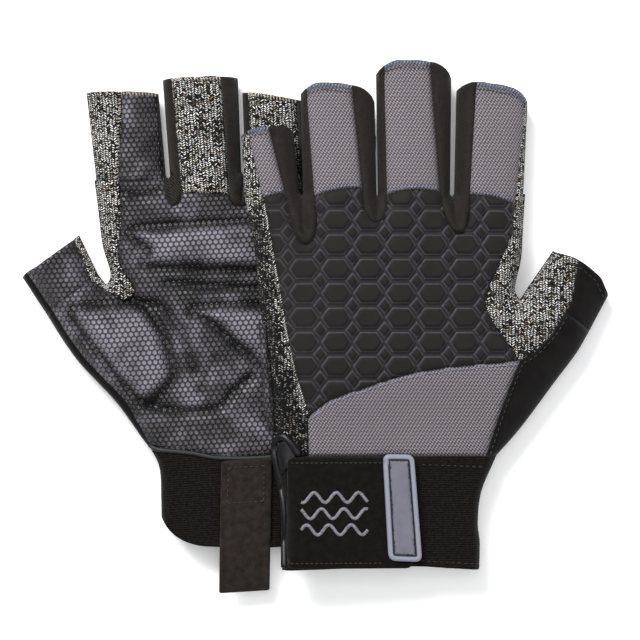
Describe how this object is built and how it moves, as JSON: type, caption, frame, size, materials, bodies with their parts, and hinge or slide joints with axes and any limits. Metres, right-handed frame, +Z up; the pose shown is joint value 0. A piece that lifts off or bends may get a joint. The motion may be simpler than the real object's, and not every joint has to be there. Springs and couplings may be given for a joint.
{
  "type": "sailing gloves",
  "caption": "Pair of fingerless sailing gloves, one palm up, one back up: padded grip palm, embossed back, elastic cuff, hook-and-loop wrist strap and pull tab.",
  "frame": {"origin": "under the middle of the pair, on the surface that it lies on", "axes": "+X along the row of the two gloves, +Y towards the fingertips, +Z up"},
  "size_m": [0.2414, 0.2162, 0.0305],
  "materials": {
    "grip_leather": "embossed synthetic leather, satin",
    "cut_knit": "salt and pepper cut-resistant knit",
    "back_laminate": "stretch fabric bonded to foam, embossed",
    "grey_weave": "coarse stretch weave",
    "spandex": "ribbed stretch fabric",
    "suede": "black synthetic suede",
    "foam": "closed cell foam",
    "elastic": "ribbed elastic",
    "neoprene": "knit-faced neoprene",
    "rubber": "matt moulded"
  },
  "bodies": {
    "lower_hand": {"lower_palm_panel": "grip_leather", "lower_thumb_pad": "foam", "lower_finger_root_pad": "foam", "lower_heel_pad": "foam", "lower_back_panel": "back_laminate", "lower_wrist_panel": "grey_weave", "lower_ulnar_gusset": "cut_knit", "lower_saddle": "cut_knit", "lower_thumb_base": "suede", "lower_cuff_band": "elastic", "lower_tab_base": "neoprene", "lower_little_back": "grey_weave", "lower_little_palm": "cut_knit", "lower_ring_back": "grey_weave", "lower_ring_palm": "cut_knit", "lower_little_ring_fourchette": "spandex", "lower_ring_fourchette": "spandex", "lower_strap": "neoprene", "lower_strap_end": "rubber"},
    "lower_fingers": {"lower_middle_back": "grey_weave", "lower_middle_palm": "cut_knit", "lower_index_back": "grey_weave", "lower_index_palm": "grip_leather", "lower_index_side": "cut_knit", "lower_middle_fourchette": "spandex", "lower_middle_index_fourchette": "spandex"},
    "lower_thumb": {"lower_thumb_back": "suede", "lower_thumb_palm": "grip_leather", "lower_thumb_gusset": "cut_knit"},
    "lower_tab": {"lower_pull_tab": "neoprene"},
    "upper_hand": {"upper_palm_panel": "grip_leather", "upper_thumb_pad": "foam", "upper_finger_root_pad": "foam", "upper_heel_pad": "foam", "upper_back_panel": "back_laminate", "upper_wrist_panel": "grey_weave", "upper_ulnar_gusset": "cut_knit", "upper_saddle": "cut_knit", "upper_thumb_base": "suede", "upper_cuff_band": "elastic", "upper_tab_base": "neoprene"},
    "upper_fingers": {"upper_little_back": "grey_weave", "upper_little_palm": "cut_knit", "upper_ring_back": "grey_weave", "upper_ring_palm": "cut_knit", "upper_middle_back": "grey_weave", "upper_middle_palm": "cut_knit", "upper_index_back": "grey_weave", "upper_index_palm": "grip_leather", "upper_index_side": "cut_knit", "upper_little_side": "cut_knit", "upper_little_ring_fourchette": "spandex", "upper_ring_middle_fourchette": "spandex", "upper_middle_index_fourchette": "spandex"},
    "upper_thumb": {"upper_thumb_back": "suede", "upper_thumb_palm": "grip_leather", "upper_thumb_gusset": "cut_knit"},
    "upper_strap": {"upper_strap": "neoprene", "upper_strap_end": "rubber"},
    "upper_tab": {"upper_pull_tab": "neoprene"}
  },
  "joints": [
    {"name": "lower_finger_flex", "type": "hinge", "parent": "lower_hand", "child": "lower_fingers", "pos_m": [-0.05823, 0.06161, 0.0165], "axis": [0.9998, 0, 0.02], "range_deg": [0, 60]},
    {"name": "lower_thumb_flex", "type": "hinge", "parent": "lower_hand", "child": "lower_thumb", "pos_m": [-0.1001, 0.01185, 0.0166], "axis": [0.7865, 0.6155, -0.0507], "range_deg": [0, 60]},
    {"name": "lower_tab_flip", "type": "hinge", "parent": "lower_hand", "child": "lower_tab", "pos_m": [-0.02647, -0.07271, 0.01464], "axis": [-0.9963, -0.0602, 0.0616], "range_deg": [0, 180]},
    {"name": "upper_glove_lift", "type": "slide", "parent": "lower_hand", "child": "upper_hand", "axis": [0, 0, 1], "range_m": [0, 0.08]},
    {"name": "upper_finger_bend", "type": "hinge", "parent": "upper_hand", "child": "upper_fingers", "pos_m": [0.03106, 0.0541, 0.02472], "axis": [0.9952, 0, -0.0976], "range_deg": [0, 60]},
    {"name": "upper_thumb_bend", "type": "hinge", "parent": "upper_hand", "child": "upper_thumb", "pos_m": [0.10052, 0.00695, 0.0179], "axis": [0.8193, -0.5677, -0.0803], "range_deg": [0, 50]},
    {"name": "upper_strap_peel", "type": "hinge", "parent": "upper_hand", "child": "upper_strap", "pos_m": [-0.01058, -0.0749, 0.02538], "axis": [0, -1, 0], "range_deg": [0, 150]},
    {"name": "upper_tab_unfold", "type": "hinge", "parent": "upper_hand", "child": "upper_tab", "pos_m": [0.03067, -0.0819, 0.00642], "axis": [-0.9952, 0, 0.0976], "range_deg": [0, 180]}
  ]
}
